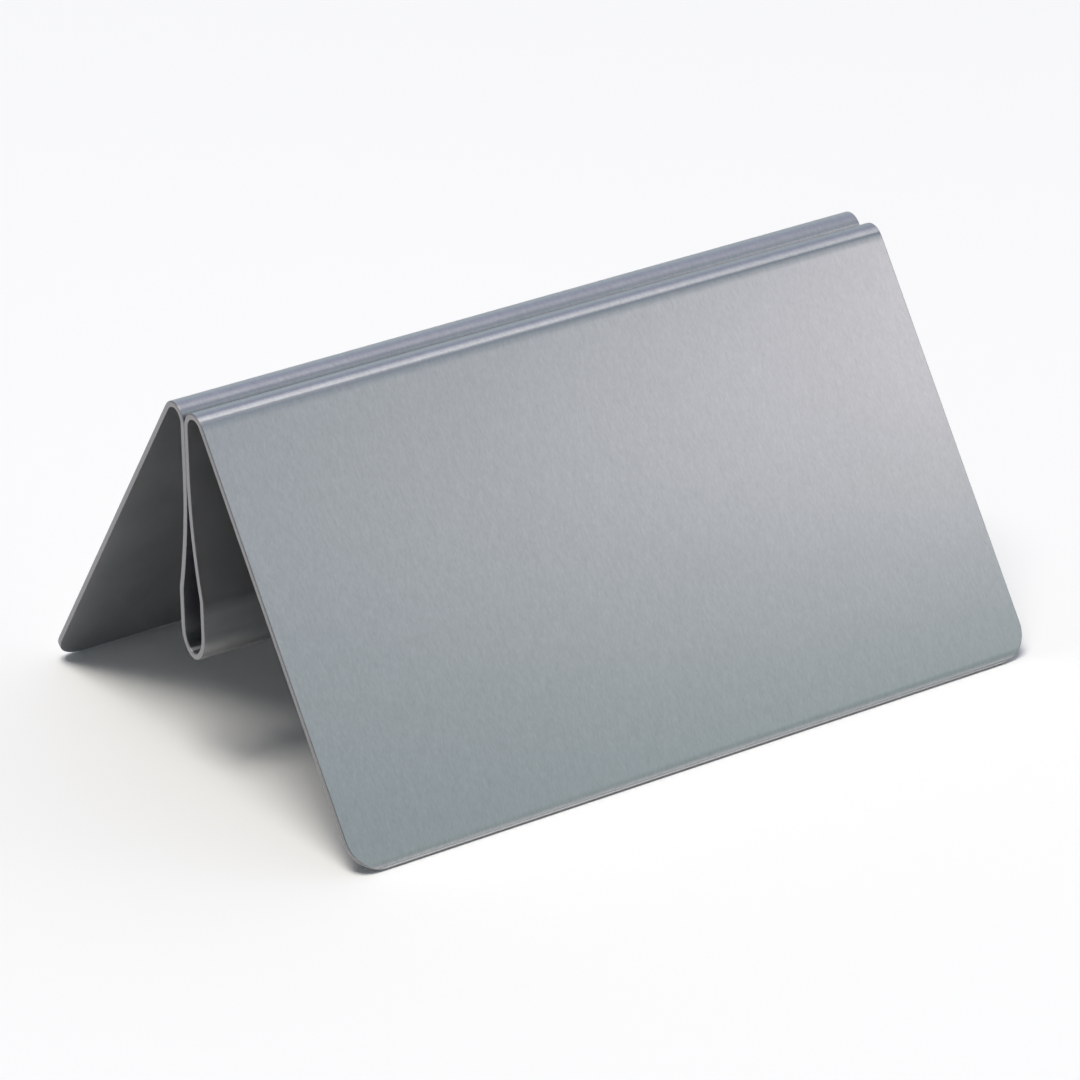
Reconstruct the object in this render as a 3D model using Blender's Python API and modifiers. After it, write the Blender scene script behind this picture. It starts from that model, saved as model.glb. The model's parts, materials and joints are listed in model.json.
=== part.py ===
"""Menu card holder: one strip of brushed stainless sheet, folded into a standing tent.

Two sloping leaves carry the holder. Between them the strip dips down as a spring loop, whose two
walls press together under the ridge, so that a card pushed in from above is gripped along its edge.
The strip is modelled as its flat panels and its bends. The two halves are alike, half a turn apart
about Z, and each of them flexes about the line where its wall runs into the nose of the loop.

Units are metres, +Z is up, +X runs along the ridge and -Y is the front. The origin is on the table,
under the middle of the ridge.
"""

import math

import bmesh
import bpy
from mathutils import Vector

MM = 0.001

# Sheet
SHEET = 0.6 * MM
LENGTH = 80.0 * MM

# Leaves: the flat stretch from the ridge bend to the foot
LEAF_LENGTH = 44.8 * MM
LEAF_SLOPE = math.radians(55.4)
LEAF_CORNER_RADIUS = 3.4 * MM

# Ridge bends, from a leaf over the top and down into a jaw
RIDGE_INSIDE_RADIUS = 1.2 * MM

# Jaws and loop, from the ridge downwards
JAW_HEIGHT = 4.7 * MM
FLARE_HEIGHT = 13.5 * MM
SHOULDER_RADIUS = 3.0 * MM
LOOP_SIDE = 3.4 * MM
LOOP_WIDTH = 4.3 * MM
LOOP_NOSE = 3.05 * MM

# Clearances: between the jaws at rest, and where one stretch of the strip meets the next
JAW_GAP = 0.06 * MM
SEAM = 0.05 * MM

# Facets along the curved stretches
RIDGE_STEPS = 28
FLARE_STEPS = 14
SHOULDER_STEPS = 6
NOSE_STEPS = 26
CORNER_STEPS = 10
SHARP_ANGLE = math.radians(30)

# Finish
STEEL_COLOUR = (0.56, 0.57, 0.58, 1.0)
STEEL_ROUGHNESS = 0.34

# The middle of the sheet seen along X, with y outwards from the slot
MID = SHEET / 2
RIDGE_MID_RADIUS = RIDGE_INSIDE_RADIUS + MID
RIDGE_LEAF_ANGLE = math.pi / 2 - LEAF_SLOPE
JAW_Y = JAW_GAP / 2 + MID
RIDGE_Y = JAW_Y + RIDGE_MID_RADIUS
LEAF_TOP_Y = RIDGE_Y + RIDGE_MID_RADIUS * math.cos(RIDGE_LEAF_ANGLE)
LOOP_Y = LOOP_WIDTH / 2 - MID

# Heights, built up from the foot, whose inner corner stands on the table
FOOT_Z = MID * math.cos(LEAF_SLOPE)
LEAF_TOP_Z = FOOT_Z + LEAF_LENGTH * math.sin(LEAF_SLOPE)
RIDGE_Z = LEAF_TOP_Z - RIDGE_MID_RADIUS * math.sin(RIDGE_LEAF_ANGLE)
JAW_FOOT_Z = RIDGE_Z - JAW_HEIGHT
SHOULDER_Z = JAW_FOOT_Z - FLARE_HEIGHT
FLEX_Z = SHOULDER_Z - LOOP_SIDE


def clear_scene():
    for obj in list(bpy.data.objects):
        bpy.data.objects.remove(obj, do_unlink=True)


def new_collection(name):
    collection = bpy.data.collections.new(name)
    bpy.context.scene.collection.children.link(collection)
    return collection


def brushed_steel():
    material = bpy.data.materials.new("brushed_steel")
    material.use_nodes = True
    shader = material.node_tree.nodes["Principled BSDF"]
    shader.inputs["Base Color"].default_value = STEEL_COLOUR
    shader.inputs["Metallic"].default_value = 1.0
    shader.inputs["Roughness"].default_value = STEEL_ROUGHNESS
    return material


def arc(centre_y, centre_z, radius, start, end, steps):
    """Points on an arc from one angle to another, measured from the first axis to the second."""
    points = []
    for i in range(steps + 1):
        angle = start + (end - start) * i / steps
        points.append((centre_y + radius * math.cos(angle), centre_z + radius * math.sin(angle)))
    return points


def ridge_profile():
    """Up from the jaw, over the ridge and down to where the leaf starts."""
    return arc(RIDGE_Y, RIDGE_Z, RIDGE_MID_RADIUS, math.pi, RIDGE_LEAF_ANGLE, RIDGE_STEPS)


def jaw_profile():
    """The plumb gripping wall under the ridge."""
    return [(JAW_Y, RIDGE_Z - SEAM), (JAW_Y, JAW_FOOT_Z + SEAM)]


def loop_wall_profile():
    """A long flare outwards from the jaw, a short shoulder back to plumb, and the loop's side."""
    turn = 2 * math.atan2(LOOP_Y - JAW_Y, FLARE_HEIGHT)
    flare_radius = FLARE_HEIGHT / math.sin(turn) - SHOULDER_RADIUS
    flare = arc(JAW_Y + flare_radius, JAW_FOOT_Z, flare_radius, math.pi, math.pi + turn, FLARE_STEPS)
    shoulder = arc(LOOP_Y - SHOULDER_RADIUS, SHOULDER_Z, SHOULDER_RADIUS, turn, 0, SHOULDER_STEPS)
    return flare + shoulder[1:] + [(LOOP_Y, FLEX_Z + SEAM)]


def loop_nose_profile():
    """Half an ellipse that closes the loop, from one flexing line to the other."""
    depth = LOOP_NOSE - MID
    points = []
    for i in range(NOSE_STEPS + 1):
        angle = math.pi * i / NOSE_STEPS
        points.append((LOOP_Y * math.cos(angle), FLEX_Z - depth * math.sin(angle)))
    return points


def solid_from(obj, name):
    """The shape of a working object as a welded mesh of its own. The working object is removed."""
    graph = bpy.context.evaluated_depsgraph_get()
    mesh = bpy.data.meshes.new_from_object(obj.evaluated_get(graph))
    mesh.name = name
    bpy.data.objects.remove(obj, do_unlink=True)
    bm = bmesh.new()
    bm.from_mesh(mesh)
    bmesh.ops.remove_doubles(bm, verts=bm.verts, dist=SHEET / 1000)
    bmesh.ops.recalc_face_normals(bm, faces=bm.faces)
    bm.to_mesh(mesh)
    bm.free()
    mesh.shade_smooth()
    mesh.set_sharp_from_angle(angle=SHARP_ANGLE)
    return mesh


def bent_sheet(name, profile, pivot_y):
    """The sheet bent along a profile and drawn out along the ridge, about a line on the flexing height."""
    bm = bmesh.new()
    line = [bm.verts.new((-LENGTH / 2, y - pivot_y, z - FLEX_Z)) for y, z in profile]
    edges = [bm.edges.new(pair) for pair in zip(line, line[1:])]
    drawn = bmesh.ops.extrude_edge_only(bm, edges=edges)["geom"]
    far_end = [item for item in drawn if isinstance(item, bmesh.types.BMVert)]
    bmesh.ops.translate(bm, verts=far_end, vec=Vector((LENGTH, 0, 0)))
    surface = bpy.data.meshes.new(name + "_surface")
    bm.to_mesh(surface)
    bm.free()
    shell = bpy.data.objects.new(name + "_shell", surface)
    bpy.context.scene.collection.objects.link(shell)
    solidify = shell.modifiers.new("Sheet", "SOLIDIFY")
    solidify.thickness = SHEET
    solidify.offset = 0
    solidify.use_even_offset = True
    return solid_from(shell, name)


def flat_leaf(name):
    """A leaf lying flat: local y runs from the ridge to the foot, whose two corners are rounded."""
    across = LENGTH / 2 - LEAF_CORNER_RADIUS
    along = LEAF_LENGTH - LEAF_CORNER_RADIUS
    right = arc(across, along, LEAF_CORNER_RADIUS, 0, math.pi / 2, CORNER_STEPS)
    left = arc(-across, along, LEAF_CORNER_RADIUS, math.pi / 2, math.pi, CORNER_STEPS)
    outline = [(-LENGTH / 2, SEAM), (LENGTH / 2, SEAM)] + right + left
    curve = bpy.data.curves.new(name, "CURVE")
    curve.dimensions = "2D"
    curve.fill_mode = "BOTH"
    curve.extrude = SHEET / 2
    spline = curve.splines.new("POLY")
    spline.points.add(len(outline) - 1)
    for point, (x, y) in zip(spline.points, outline):
        point.co = (x, y, 0, 1)
    spline.use_cyclic_u = True
    blank = bpy.data.objects.new(name + "_blank", curve)
    bpy.context.scene.collection.objects.link(blank)
    return solid_from(blank, name)


def add_part(name, mesh, parent, collection):
    part = bpy.data.objects.new(name, mesh)
    part.parent = parent
    collection.objects.link(part)
    return part


def add_pivot(name, collection, turn, distance):
    """An empty on a line at the flexing height, a distance out from the slot on the side it turns to."""
    pivot = bpy.data.objects.new(name, None)
    pivot.location = (-distance * math.sin(turn), distance * math.cos(turn), FLEX_Z)
    pivot.rotation_euler = (0, 0, turn)
    collection.objects.link(pivot)
    return pivot


def main():
    clear_scene()
    collection = new_collection("menu_card_holder")
    leaf = flat_leaf("leaf")
    bends = {
        "ridge_bend": bent_sheet("ridge_bend", ridge_profile(), LOOP_Y),
        "jaw": bent_sheet("jaw", jaw_profile(), LOOP_Y),
        "loop_wall": bent_sheet("loop_wall", loop_wall_profile(), LOOP_Y),
    }
    nose = bent_sheet("loop_nose", loop_nose_profile(), 0)
    steel = brushed_steel()
    for mesh in [leaf, nose, *bends.values()]:
        mesh.materials.append(steel)

    add_part("loop_nose", nose, add_pivot("loop_line", collection, 0, 0), collection)
    for side, turn in (("rear", 0), ("front", math.pi)):
        flex_line = add_pivot(side + "_flex_line", collection, turn, LOOP_Y)
        for bend, mesh in bends.items():
            add_part(side + "_" + bend, mesh, flex_line, collection)
        panel = add_part(side + "_leaf", leaf, flex_line, collection)
        panel.location = (0, LEAF_TOP_Y - LOOP_Y, LEAF_TOP_Z - FLEX_Z)
        panel.rotation_euler = (-LEAF_SLOPE, 0, 0)


main()
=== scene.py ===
import json
import math

import bmesh
import bpy
from mathutils import Matrix, Vector

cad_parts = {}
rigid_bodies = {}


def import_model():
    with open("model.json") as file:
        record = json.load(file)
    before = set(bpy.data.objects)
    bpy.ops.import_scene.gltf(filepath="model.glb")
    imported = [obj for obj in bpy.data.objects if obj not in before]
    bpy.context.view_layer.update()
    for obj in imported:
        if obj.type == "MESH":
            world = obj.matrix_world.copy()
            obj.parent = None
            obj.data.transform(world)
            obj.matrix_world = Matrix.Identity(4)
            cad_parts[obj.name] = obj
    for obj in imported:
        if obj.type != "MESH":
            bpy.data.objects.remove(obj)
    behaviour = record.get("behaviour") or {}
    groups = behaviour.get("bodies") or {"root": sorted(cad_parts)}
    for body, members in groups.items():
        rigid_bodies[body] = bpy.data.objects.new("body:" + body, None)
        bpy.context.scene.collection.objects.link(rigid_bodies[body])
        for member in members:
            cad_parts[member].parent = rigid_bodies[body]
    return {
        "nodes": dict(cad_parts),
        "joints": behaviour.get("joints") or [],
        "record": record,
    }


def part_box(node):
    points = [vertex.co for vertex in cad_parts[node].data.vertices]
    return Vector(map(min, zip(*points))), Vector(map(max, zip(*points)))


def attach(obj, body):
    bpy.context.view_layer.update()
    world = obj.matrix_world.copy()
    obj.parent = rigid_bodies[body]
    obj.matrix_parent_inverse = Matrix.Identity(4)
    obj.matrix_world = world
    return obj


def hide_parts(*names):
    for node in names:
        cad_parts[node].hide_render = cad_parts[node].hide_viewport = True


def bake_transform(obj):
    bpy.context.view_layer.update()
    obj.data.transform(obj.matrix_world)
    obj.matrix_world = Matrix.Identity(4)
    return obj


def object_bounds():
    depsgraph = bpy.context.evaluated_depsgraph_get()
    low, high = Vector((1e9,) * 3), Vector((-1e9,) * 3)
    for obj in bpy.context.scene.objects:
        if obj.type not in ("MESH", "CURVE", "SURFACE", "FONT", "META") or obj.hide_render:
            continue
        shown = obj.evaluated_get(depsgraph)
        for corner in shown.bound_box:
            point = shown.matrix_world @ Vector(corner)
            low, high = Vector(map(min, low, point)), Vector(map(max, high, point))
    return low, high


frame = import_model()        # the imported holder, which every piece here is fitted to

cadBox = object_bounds()
mm = 0.001
tiny = 0.01 * mm         # points nearer than this are taken as one place
print("frame loaded:", ", ".join(sorted(frame["nodes"])))


def dropSelection():
    if bpy.context.mode != "OBJECT":
        bpy.ops.object.mode_set(mode="OBJECT")
    bpy.ops.object.select_all(action="DESELECT")


def workOn(piece, mode="OBJECT"):
    dropSelection()
    piece.select_set(True)
    bpy.context.view_layer.objects.active = piece
    bpy.ops.object.mode_set(mode=mode)


def pick(kind, test):
    # selects what passes the test in the piece that is open in edit mode
    bpy.ops.mesh.select_mode(type=kind)
    bpy.ops.mesh.select_all(action="DESELECT")
    mesh = bmesh.from_edit_mesh(bpy.context.edit_object.data)
    group = {"VERT": mesh.verts, "EDGE": mesh.edges, "FACE": mesh.faces}[kind]
    for item in group:
        if test(item):
            item.select_set(True)
    mesh.select_flush_mode()
    bmesh.update_edit_mesh(bpy.context.edit_object.data)


def drawDown(length):
    bpy.ops.mesh.extrude_region_move(TRANSFORM_OT_translate={"value": (0, 0, -length)})


def bendRow(steps, angle, y, z):
    # bends the picked edge on round a line along X, and a positive angle goes from Y to Z
    turn = -1 if angle > 0 else 1
    bpy.ops.mesh.spin(steps=steps, angle=abs(angle), center=(0, y, z), axis=(turn, 0, 0))


def applyModifier(piece, modifier):
    workOn(piece)
    bpy.ops.object.modifier_apply(modifier=modifier.name)


# The strip: sizes come off the frame, and these few can't be read from its boxes
strip = {
    "cornerRadius": 3.4 * mm,
    "shoulderRadius": 3.0 * mm,
    "loopSide": 3.4 * mm,
    "seam": 0.05 * mm,             # what the frame's nodes leave where the strip runs on
    "faceEdge": 0.10 * mm,         # rounding of the edges of the brushed face
    "faceEdgeSteps": 3,
    "insideEdge": 0.07 * mm,       # rounding of the inside edges
    "insideEdgeSteps": 2,
    "rollDepth": 0.24 * mm,        # how far the face drops towards the cut edge of a foot
    "rollCurve": 0.5,              # share of the roll that is curved, before it runs on straight
    "rollRows": (7, 11),           # first and last steps of the corners that a row of edges joins
    "easeLength": 0.7 * mm,        # each leaf starts off with a slight curve
    "easeAngle": math.radians(4.5),
    "easeSteps": 6,
    "cornerSteps": 14,
    "ridgeSteps": 36,
    "flareSteps": 24,
    "shoulderSteps": 10,
    "noseSteps": 28,
    "grainMap": 1 * mm,            # side of the cube that the UV map is laid out from
}
faceSlot, insideSlot, edgeSlot, bendSlot = range(4)        # the strip's material slots


def readStrip():
    jawLow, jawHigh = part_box("front_jaw")
    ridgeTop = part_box("front_ridge_bend")[1].z
    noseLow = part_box("loop_nose")[0]
    faceAxis = next(m["axis"] for m in frame["record"]["mounts"] if m["name"] == "front_leaf_face")
    flexLine = next(j for j in frame["joints"] if j["name"] == "front_jaw_flex")["pos_m"]
    sheet = jawHigh.y - jawLow.y
    slope = math.atan2(-faceAxis[1], faceAxis[2])
    ridgeZ = jawHigh.z + strip["seam"]
    ridgeRadius = ridgeTop - ridgeZ - sheet / 2
    jawY = (jawLow.y + jawHigh.y) / 2
    ridgeY = jawY - ridgeRadius
    leafTop = Vector((0, ridgeY - ridgeRadius * math.sin(slope), ridgeZ + ridgeRadius * math.cos(slope)))
    footZ = sheet / 2 * math.cos(slope)
    strip.update({
        "length": jawHigh.x - jawLow.x,
        "sheet": sheet,
        "slope": slope,
        "leafTop": leafTop,
        "leafLength": (leafTop.z - footZ) / math.sin(slope),
        "footZ": footZ,
        "ridgeRadius": ridgeRadius,
        "ridgeY": ridgeY,
        "ridgeZ": ridgeZ,
        "jawY": jawY,
        "jawFootZ": jawLow.z - strip["seam"],
        "loopY": flexLine[1],
        "flexZ": flexLine[2],
        "noseDepth": flexLine[2] - noseLow.z - sheet / 2,
    })


def modelHalf():
    # the front leaf is the start, and the rest of the strip is bent and drawn on from its top edge
    slope = strip["slope"]
    downSlope = Vector((0, -math.cos(slope), -math.sin(slope)))
    ease = strip["easeAngle"]
    easeRadius = strip["easeLength"] / ease
    easeRise = math.sin(slope) - math.sin(slope - ease)
    drop = (easeRadius - strip["ridgeRadius"]) * easeRise / math.cos(slope)
    top = strip["leafTop"] + downSlope * drop
    middle = strip["leafTop"] + downSlope * (strip["leafLength"] + drop) / 2
    dropSelection()
    bpy.ops.mesh.primitive_plane_add(size=1, location=middle, rotation=(slope, 0, 0))
    half = bpy.context.object
    half.name = "strip"
    half.scale = (strip["length"], strip["leafLength"] - drop, 1)
    bpy.ops.object.transform_apply(location=True, rotation=True, scale=True)

    bpy.ops.object.mode_set(mode="EDIT")
    pick("VERT", lambda v: v.co.z < strip["footZ"] + tiny)
    bpy.ops.mesh.bevel(offset=strip["cornerRadius"], segments=strip["cornerSteps"], affect="VERTICES")

    pick("EDGE", lambda e: all(v.co.z > top.z - tiny for v in e.verts))
    easeZ = top.z - easeRadius * math.cos(slope)
    ridgeZ = easeZ + (easeRadius - strip["ridgeRadius"]) * math.cos(slope - ease)
    bendRow(strip["easeSteps"], -ease, top.y + easeRadius * math.sin(slope), easeZ)
    bendRow(strip["ridgeSteps"], ease - slope - math.pi / 2, strip["ridgeY"], ridgeZ)
    drawDown(ridgeZ - strip["jawFootZ"])

    flareOut = strip["jawY"] - strip["loopY"]
    shoulderZ = strip["flexZ"] + strip["loopSide"]
    fall = strip["jawFootZ"] - shoulderZ
    turn = 2 * math.atan2(flareOut, fall)
    flareRadius = fall / math.sin(turn) - strip["shoulderRadius"]
    bendRow(strip["flareSteps"], -turn, strip["jawY"] - flareRadius, strip["jawFootZ"])
    bendRow(strip["shoulderSteps"], turn, strip["loopY"] + strip["shoulderRadius"], shoulderZ)
    drawDown(strip["loopSide"])

    # a quarter of a circle closes the loop, and is then stretched down to the nose's depth
    bendRow(strip["noseSteps"], math.pi / 2, 0, strip["flexZ"])
    pick("VERT", lambda v: v.co.z < strip["flexZ"] - tiny and v.co.y > strip["loopY"] - tiny)
    deepen = strip["noseDepth"] / -strip["loopY"]
    bpy.ops.transform.resize(value=(1, 1, deepen), center_override=(0, 0, strip["flexZ"]))
    bpy.ops.object.mode_set(mode="OBJECT")
    return half


def rollFoot(out):
    # joins the steps of the two corners by rows across the face, then leans them towards the cut edge
    slope = strip["slope"]
    faceOut = Vector((0, out * math.sin(slope), math.cos(slope)))
    downSlope = Vector((0, out * math.cos(slope), -math.sin(slope)))
    top = Vector((0, -out * strip["leafTop"].y, strip["leafTop"].z)) + faceOut * strip["sheet"] / 2
    firstRow, lastRow = strip["rollRows"]
    curve = strip["rollCurve"]

    def rowRise(step):
        return strip["cornerRadius"] * (1 - math.sin(math.pi / 2 * step / strip["cornerSteps"]))

    for step in range(firstRow, strip["cornerSteps"] + 1):
        rise = rowRise(step)
        onRow = lambda v: ((v.co - top).dot(faceOut) > -tiny
                           and abs((v.co - top).dot(downSlope) - strip["leafLength"] + rise) < tiny)
        pick("VERT", onRow)
        if step <= lastRow:
            bpy.ops.mesh.vert_connect()
            pick("VERT", onRow)
        along = 1 - rise / rowRise(firstRow)
        fall = along ** 2 / (2 * curve) if along < curve else along - curve / 2
        bpy.ops.transform.translate(value=faceOut * -strip["rollDepth"] * fall / (1 - curve / 2))


def closeStrip(half):
    # the rear half is the front one seen in a mirror, and the two meet under the nose
    mirror = half.modifiers.new("Rear half", "MIRROR")
    mirror.use_axis = (False, True, False)
    mirror.merge_threshold = tiny
    applyModifier(half, mirror)
    workOn(half, "EDIT")
    bpy.ops.mesh.select_all(action="SELECT")
    bpy.ops.mesh.remove_doubles(threshold=tiny / 10)
    bpy.ops.mesh.normals_make_consistent(inside=False)
    bpy.ops.object.mode_set(mode="OBJECT")
    leaf = max(half.data.polygons, key=lambda p: p.area if p.center.y < 0 else 0)
    if leaf.normal.z < 0:
        workOn(half, "EDIT")
        bpy.ops.mesh.select_all(action="SELECT")
        bpy.ops.mesh.flip_normals()
        bpy.ops.object.mode_set(mode="OBJECT")

    solid = half.modifiers.new("Sheet", "SOLIDIFY")
    solid.thickness = strip["sheet"]
    solid.offset = 0
    solid.use_even_offset = True
    solid.material_offset = insideSlot
    solid.material_offset_rim = edgeSlot
    for finish in (brushedFace, millInside, shearedEdge, dullBend):
        half.data.materials.append(finish)
    applyModifier(half, solid)

    workOn(half, "EDIT")
    for out in (-1, 1):
        rollFoot(out)
    bordersOf = lambda slot: lambda e: {f.material_index for f in e.link_faces} == {slot, edgeSlot}
    for slot, width, steps in ((faceSlot, strip["faceEdge"], strip["faceEdgeSteps"]),
                               (insideSlot, strip["insideEdge"], strip["insideEdgeSteps"])):
        pick("EDGE", bordersOf(slot))
        bpy.ops.mesh.bevel(offset=width, segments=steps, affect="EDGES", material=edgeSlot)
    onRearBend = lambda middle: middle.y > 0 and middle.z > strip["ridgeZ"]
    pick("FACE", lambda f: f.material_index == faceSlot and onRearBend(f.calc_center_median()))
    half.active_material_index = bendSlot
    bpy.ops.object.material_slot_assign()
    bpy.ops.mesh.select_all(action="SELECT")
    bpy.ops.uv.cube_project(cube_size=strip["grainMap"], correct_aspect=False)
    bpy.ops.object.mode_set(mode="OBJECT")


def cutAway(whole, name, test):
    # parts one stretch off the strip along a row of edges that is already there
    before = set(bpy.data.objects)
    workOn(whole, "EDIT")
    pick("FACE", lambda f: test(f.calc_center_median()))
    bpy.ops.mesh.separate(type="SELECTED")
    bpy.ops.object.mode_set(mode="OBJECT")
    piece = next(o for o in bpy.data.objects if o not in before)
    piece.name = name
    piece.data.name = name
    return piece


shading = {
    "sharpAngle": math.radians(40),
    "flatWeight": 90,              # above 50, large faces count for more than small ones
}


def finishPiece(piece):
    # closes the cut end, then lets the flat panels keep true normals beside their bends
    workOn(piece, "EDIT")
    bpy.ops.mesh.select_mode(type="EDGE")
    bpy.ops.mesh.select_all(action="DESELECT")
    bpy.ops.mesh.select_non_manifold()
    bpy.ops.mesh.fill()
    bpy.ops.object.mode_set(mode="OBJECT")
    bpy.ops.object.material_slot_remove_unused()
    bpy.ops.object.shade_smooth_by_angle(angle=shading["sharpAngle"])
    weigh = piece.modifiers.new("Flat panels", "WEIGHTED_NORMAL")
    weigh.mode = "FACE_AREA"
    weigh.weight = shading["flatWeight"]
    weigh.keep_sharp = True
    applyModifier(piece, weigh)


def addNode(tree, kind, links=None, **settings):
    node = tree.nodes.new(kind)
    for key, value in settings.items():
        setattr(node, key, value)
    for socket, source in (links or {}).items():
        if isinstance(source, (int, float, tuple)):
            node.inputs[socket].default_value = source
        else:
            tree.links.new(source, node.inputs[socket])
    return node


def newFinish(name):
    finish = bpy.data.materials.new(name)
    finish.use_nodes = True
    tree = finish.node_tree
    return finish, tree, tree.nodes["Principled BSDF"]


noise = {
    "roughness": 0.6,
    "usual": (0.3, 0.7),           # most of its values lie between these
}
mixColours = {"dark": 6, "light": 7, "result": 2}        # a Mix node's colour sockets, by number


def stretchedNoise(tree, place, scale, detail):
    mapped = addNode(tree, "ShaderNodeMapping", {"Vector": place, "Scale": scale})
    texture = addNode(tree, "ShaderNodeTexNoise", {
        "Vector": mapped.outputs["Vector"],
        "Scale": 1.0,
        "Detail": detail,
        "Roughness": noise["roughness"],
    })
    return texture.outputs["Fac"]


def spread(tree, value, low, high, fromLow=noise["usual"][0], fromHigh=noise["usual"][1]):
    ranged = addNode(tree, "ShaderNodeMapRange", {
        "Value": value,
        "From Min": fromLow,
        "From Max": fromHigh,
        "To Min": low,
        "To Max": high,
    })
    return ranged.outputs["Result"]


def maths(tree, operation, first, second=0.0):
    return addNode(tree, "ShaderNodeMath", {0: first, 1: second}, operation=operation).outputs[0]


def tintBetween(tree, value, dark, light):
    mixed = addNode(tree, "ShaderNodeMix", {"Factor": value}, data_type="RGBA")
    mixed.inputs[mixColours["dark"]].default_value = (*dark, 1)
    mixed.inputs[mixColours["light"]].default_value = (*light, 1)
    return mixed.outputs[mixColours["result"]]


def tinted(tree, colour, tint):
    product = addNode(tree, "ShaderNodeVectorMath", {0: colour, 1: tint}, operation="MULTIPLY")
    return product.outputs["Vector"]


def dimmed(tree, colour, share):
    scaled = addNode(tree, "ShaderNodeVectorMath", {0: colour, "Scale": share}, operation="SCALE")
    return scaled.outputs["Vector"]


def raiseMarks(tree, shader, height, depth):
    bump = addNode(tree, "ShaderNodeBump", {"Height": height, "Strength": 1.0, "Distance": depth})
    tree.links.new(bump.outputs["Normal"], shader.inputs["Normal"])


def layGrain(tree, shader, anisotropy):
    # the UV map gives the gloss its direction
    tangent = addNode(tree, "ShaderNodeTangent", direction_type="UV_MAP")
    tree.links.new(tangent.outputs["Tangent"], shader.inputs["Tangent"])
    shader.inputs["Anisotropic"].default_value = anisotropy


# The brushed face: grain runs along the strip, so it is fine across X and long in Y and Z
brushed = {
    "dark": (0.515, 0.528, 0.532),
    "light": (0.635, 0.648, 0.652),
    "roughness": (0.285, 0.305),
    "cloud": (-0.006, 0.008),              # added to the roughness in patches
    "anisotropy": 0.86,
    "bendAnisotropy": 0.62,                # a weaker streak of light on the rear bend, set by the photo
    "fineGrain": (6000, 1900, 1900),       # strokes per metre in X, Y and Z
    "coarseGrain": (2000, 640, 640),
    "fineShare": 0.65,                     # of the grain, the rest being coarse
    "haze": (60, 60, 60),
    "detail": 3,
    "grainDepth": 0.002 * mm,
    "slotHeights": (33 * mm, 37.3 * mm),
    "slotHalves": (2.4 * mm, 0.45 * mm),   # half the width, at those heights, of what is kept dark as painted shade
    "slotFade": 0.3 * mm,
    "slotShadeTint": (0.40, 0.405, 0.45),       # painted shade: what is left there of the steel's colour, set by the photo
    "loopHeights": (12.5 * mm, 16 * mm),
    "loopClear": (1, 0),                   # at those heights down in the loop, how much of the steel's colour comes back through the painted shade
    "floorHeights": (12.3 * mm, 13 * mm),  # and the painted shade stays on the loop's floor
}


def makeBrushedFace(name, anisotropy):
    finish, tree, shader = newFinish(name)
    place = addNode(tree, "ShaderNodeTexCoord").outputs["Object"]
    fine = stretchedNoise(tree, place, brushed["fineGrain"], brushed["detail"])
    coarse = stretchedNoise(tree, place, brushed["coarseGrain"], brushed["detail"])
    haze = stretchedNoise(tree, place, brushed["haze"], brushed["detail"])
    fine = maths(tree, "MULTIPLY", fine, brushed["fineShare"])
    coarse = maths(tree, "MULTIPLY", coarse, 1 - brushed["fineShare"])
    grain = maths(tree, "ADD", fine, coarse)
    axes = addNode(tree, "ShaderNodeSeparateXYZ", {"Vector": place}).outputs
    # painted shade: the steel is darkened between the jaws and bends and down the loop, except low on the
    # loop's sides
    slotHalf = spread(tree, axes["Z"], *brushed["slotHalves"], *brushed["slotHeights"])
    outOfSlot = maths(tree, "SUBTRACT", maths(tree, "ABSOLUTE", axes["Y"]), slotHalf)
    clear = spread(tree, outOfSlot, 0, 1, -brushed["slotFade"], 0)
    inLoop = spread(tree, axes["Z"], *brushed["loopClear"], *brushed["loopHeights"])
    overFloor = spread(tree, axes["Z"], 0, 1, *brushed["floorHeights"])
    clear = maths(tree, "MAXIMUM", clear, maths(tree, "MULTIPLY", inLoop, overFloor))
    dull = tintBetween(tree, clear, brushed["slotShadeTint"], (1, 1, 1))
    steel = tintBetween(tree, spread(tree, grain, 0, 1), brushed["dark"], brushed["light"])
    tree.links.new(tinted(tree, steel, dull), shader.inputs["Base Color"])
    rough = spread(tree, grain, *brushed["roughness"])
    cloud = spread(tree, haze, *brushed["cloud"])
    tree.links.new(maths(tree, "ADD", rough, cloud), shader.inputs["Roughness"])
    raiseMarks(tree, shader, grain, brushed["grainDepth"])
    layGrain(tree, shader, anisotropy)
    shader.inputs["Metallic"].default_value = 1.0
    return finish


# The inside: a plainer finish, with painted light and shade along the loop that were set by the photo
mill = {
    "dark": (0.49, 0.495, 0.50),
    "light": (0.56, 0.565, 0.57),
    "roughness": (0.29, 0.35),
    "anisotropy": 0.35,
    "rollMarks": (3000, 300, 300),
    "markDetail": 2,
    "markDepth": 0.0004 * mm,
    "haze": (140, 140, 140),
    "hazeDetail": 4,
    "loopHalves": (2.3 * mm, 2.8 * mm),    # the painted light and shade are full inside the first and end at the second
    "sideHeights": (16.8 * mm, 18.2 * mm),
    "sideShares": (1.45, 0.86),            # painted light and shade: the loop's sides are lighter than its walls above
    "noseHeights": (12.4 * mm, 15.0 * mm),
    "noseShares": (0.45, 1),               # and painted shade makes its round end darker again
}


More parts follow.
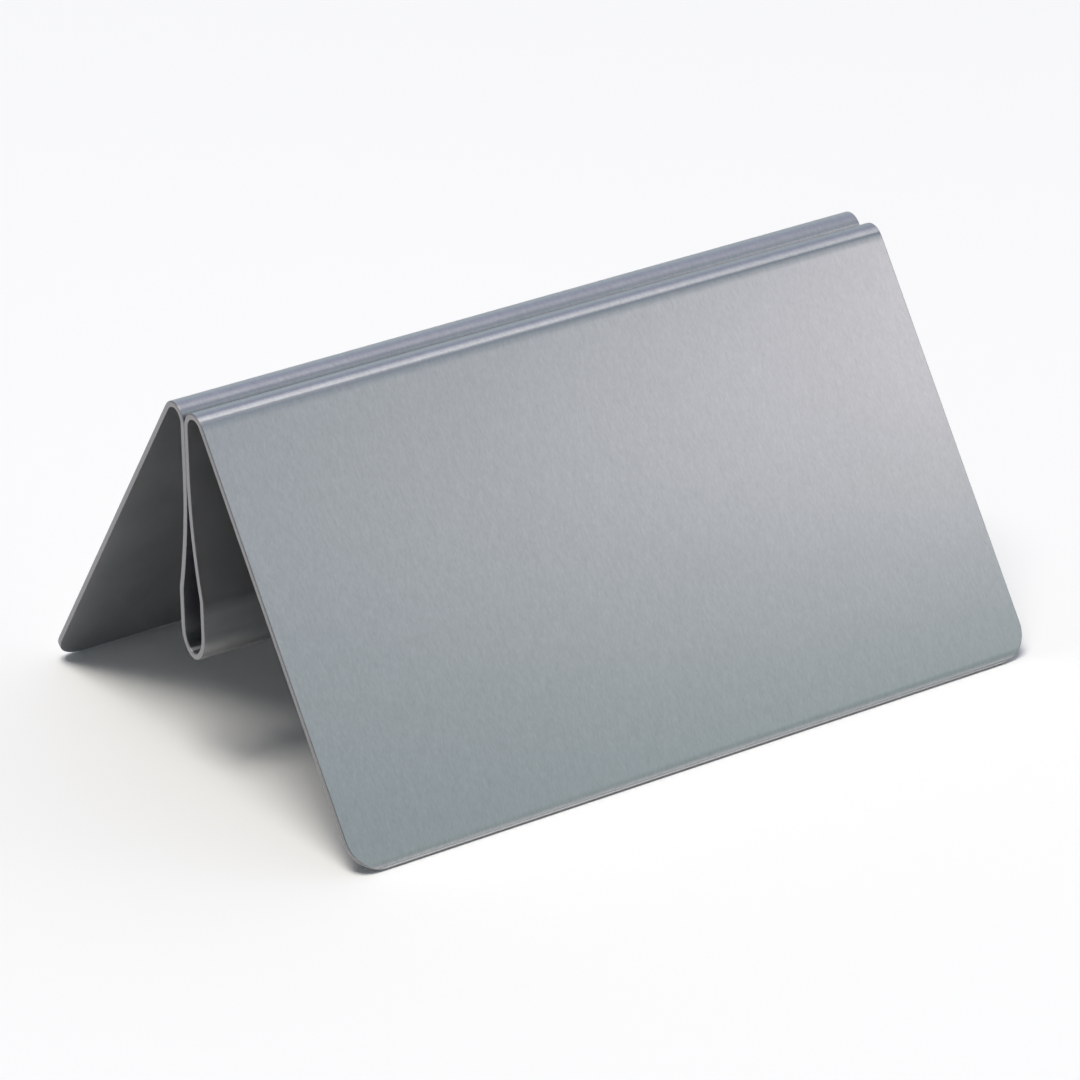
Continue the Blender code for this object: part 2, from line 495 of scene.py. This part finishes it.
def makeMillInside():
    finish, tree, shader = newFinish("mill inside")
    place = addNode(tree, "ShaderNodeTexCoord").outputs["Object"]
    marks = stretchedNoise(tree, place, mill["rollMarks"], mill["markDetail"])
    haze = stretchedNoise(tree, place, mill["haze"], mill["hazeDetail"])
    axes = addNode(tree, "ShaderNodeSeparateXYZ", {"Vector": place}).outputs
    # painted light and shade along the loop, set by height
    onLoop = spread(tree, maths(tree, "ABSOLUTE", axes["Y"]), 1, 0, *mill["loopHalves"])
    onSide = spread(tree, axes["Z"], *mill["sideShares"], *mill["sideHeights"])
    onNose = spread(tree, axes["Z"], *mill["noseShares"], *mill["noseHeights"])
    paintedLoopShare = maths(tree, "MULTIPLY", onSide, onNose)
    steel = tintBetween(tree, spread(tree, haze, 0, 1), mill["dark"], mill["light"])
    steel = dimmed(tree, steel, spread(tree, onLoop, 1, paintedLoopShare, 0, 1))
    tree.links.new(steel, shader.inputs["Base Color"])
    tree.links.new(spread(tree, marks, *mill["roughness"]), shader.inputs["Roughness"])
    raiseMarks(tree, shader, marks, mill["markDepth"])
    layGrain(tree, shader, mill["anisotropy"])
    shader.inputs["Metallic"].default_value = 1.0
    return finish


# The cut edges, duller and darker than the faces
sheared = {
    "dark": (0.26, 0.255, 0.262),
    "light": (0.37, 0.365, 0.372),
    "roughness": (0.38, 0.52),
    "tearMarks": (5200, 5200, 5200),
    "markDetail": 3,
    "markDepth": 0.004 * mm,
}


def makeShearedEdge():
    finish, tree, shader = newFinish("sheared edge")
    place = addNode(tree, "ShaderNodeTexCoord").outputs["Object"]
    marks = stretchedNoise(tree, place, sheared["tearMarks"], sheared["markDetail"])
    steel = tintBetween(tree, spread(tree, marks, 0, 1), sheared["dark"], sheared["light"])
    tree.links.new(steel, shader.inputs["Base Color"])
    tree.links.new(spread(tree, marks, *sheared["roughness"]), shader.inputs["Roughness"])
    raiseMarks(tree, shader, marks, sheared["markDepth"])
    shader.inputs["Metallic"].default_value = 1.0
    return finish


brushedFace = makeBrushedFace("brushed face", brushed["anisotropy"])
dullBend = makeBrushedFace("dull bend", brushed["bendAnisotropy"])
millInside = makeMillInside()
shearedEdge = makeShearedEdge()
print("finishes made: brushed face, dull bend, mill inside, sheared edge")

readStrip()
wholeStrip = modelHalf()
closeStrip(wholeStrip)
print("strip folded:", len(wholeStrip.data.polygons), "faces")

loopHalf = -strip["loopY"] + strip["sheet"]
inNose = lambda middle: middle.z < strip["flexZ"] and abs(middle.y) < loopHalf
loopBend = cutAway(wholeStrip, "loop_bend", inNose)
rearSheet = cutAway(wholeStrip, "rear_sheet", lambda middle: middle.y > 0)
frontSheet = wholeStrip
frontSheet.name = "front_sheet"
frontSheet.data.name = "front_sheet"

# Each wall springs along its lower end. Each sheet takes the place of its half's parts, and the loop's
# bend rides on the loop
for side, sheet in (("front", frontSheet), ("rear", rearSheet)):
    finishPiece(sheet)
    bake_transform(sheet)
    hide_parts(side + "_leaf", side + "_ridge_bend", side + "_jaw", side + "_loop_wall")
finishPiece(loopBend)
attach(loopBend, "loop")
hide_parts("loop_nose")
print("pieces parted: front_sheet, rear_sheet, loop_bend")

# The camera, fitted to the straight edges in the photo. Its angles turn it about the origin
camera = {
    "azimuth": -33.773,
    "elevation": 25.483,
    "roll": -0.897,
    "distance": 592.39 * mm,
    "aside": 0.024 * mm,
    "above": 11.766 * mm,
    "lens": 196.6,
    "sensor": 36,
    "clip": (10 * mm, 20),
}


def placeCamera():
    lens = bpy.data.cameras.new("camera")
    lens.lens = camera["lens"]
    lens.sensor_width = camera["sensor"]
    lens.clip_start, lens.clip_end = camera["clip"]
    eye = bpy.data.objects.new("camera", lens)
    bpy.context.scene.collection.objects.link(eye)
    turn = Matrix.Rotation(math.radians(camera["azimuth"]), 4, "Z")
    tilt = Matrix.Rotation(math.radians(90 - camera["elevation"]), 4, "X")
    roll = Matrix.Rotation(math.radians(camera["roll"]), 4, "Z")
    back = Matrix.Translation((camera["aside"], camera["above"], camera["distance"]))
    eye.matrix_world = turn @ tilt @ roll @ back
    bpy.context.scene.camera = eye


# Soft boxes as seen from the middle of the ridge: side is degrees from the front round to the right,
# up is degrees above the table, size is width and height in metres
softBoxes = {
    "leaf box": {"side": 55.4, "up": 26.2, "distance": 0.40, "size": (0.15, 0.07), "level": 1.85,
                 "tint": (1.0, 0.82, 0.86)},
    "top box": {"side": 288, "up": 77.5, "distance": 2.60, "size": (1.60, 1.05), "level": 10.5,
                "tint": (1.0, 0.972, 0.895)},
}
surround = {
    "low": (0.0, (0.383, 0.401, 0.424)),       # height of the look and what is seen there
    "middle": (0.45, (0.479, 0.580, 0.580)),
    "high": (0.85, (0.27, 0.282, 0.395)),
    "leftShare": 0.20,                         # how much of the light on the right there is on the left
    "leftSpan": (-0.6, 0.1),                   # from where on the left to where on the right it grows
    "rearTint": (1.22, 1.155, 1.25),           # what is seen behind, beside what is seen in front
    "rearSpan": (-0.2, 0.4),                   # from where in front to where behind it changes
}


def placeLights():
    ridge = Vector((0, 0, cadBox[1].z))
    for name, box in softBoxes.items():
        lamp = bpy.data.lights.new(name, "AREA")
        lamp.shape = "RECTANGLE"
        width, height = box["size"]
        lamp.size = width
        lamp.size_y = height
        lamp.energy = box["level"] * math.pi * width * height
        lamp.color = box["tint"]
        holder = bpy.data.objects.new(name, lamp)
        bpy.context.scene.collection.objects.link(holder)
        side = math.radians(box["side"])
        up = math.radians(box["up"])
        towards = Vector((math.sin(side) * math.cos(up), -math.cos(side) * math.cos(up), math.sin(up)))
        holder.location = ridge + towards * box["distance"]
        holder.rotation_euler = towards.to_track_quat("Z", "Y").to_euler()

    world = bpy.data.worlds.new("studio")
    bpy.context.scene.world = world
    world.use_nodes = True
    tree = world.node_tree
    look = addNode(tree, "ShaderNodeTexCoord").outputs["Generated"]
    axes = addNode(tree, "ShaderNodeSeparateXYZ", {"Vector": look}).outputs
    tint = addNode(tree, "ShaderNodeValToRGB", {"Fac": axes["Z"]})
    stops = tint.color_ramp.elements
    stops.new(surround["middle"][0])
    for stop, zone in zip(stops, ("low", "middle", "high")):
        stop.position = surround[zone][0]
        stop.color = (*surround[zone][1], 1)
    share = spread(tree, axes["X"], surround["leftShare"], 1, *surround["leftSpan"])
    behind = spread(tree, axes["Y"], 0, 1, *surround["rearSpan"])
    seen = tinted(tree, tint.outputs["Color"], tintBetween(tree, behind, (1, 1, 1), surround["rearTint"]))
    tree.links.new(seen, tree.nodes["Background"].inputs["Color"])
    tree.links.new(share, tree.nodes["Background"].inputs["Strength"])


table = {
    "side": 6.0,
    "colour": (0.95, 0.95, 0.95),
    "roughness": 0.9,
    "specular": 0.1,
}


def layTable():
    dropSelection()
    bpy.ops.mesh.primitive_plane_add(size=table["side"], location=(0, 0, 0))
    floor = bpy.context.object
    floor.name = "table"
    finish, tree, shader = newFinish("pale table")
    shader.inputs["Base Color"].default_value = (*table["colour"], 1)
    shader.inputs["Roughness"].default_value = table["roughness"]
    shader.inputs["Specular IOR Level"].default_value = table["specular"]
    floor.data.materials.append(finish)


placeCamera()
placeLights()
layTable()
bpy.context.scene.view_settings.view_transform = "Standard"
print("camera, lights and table placed")
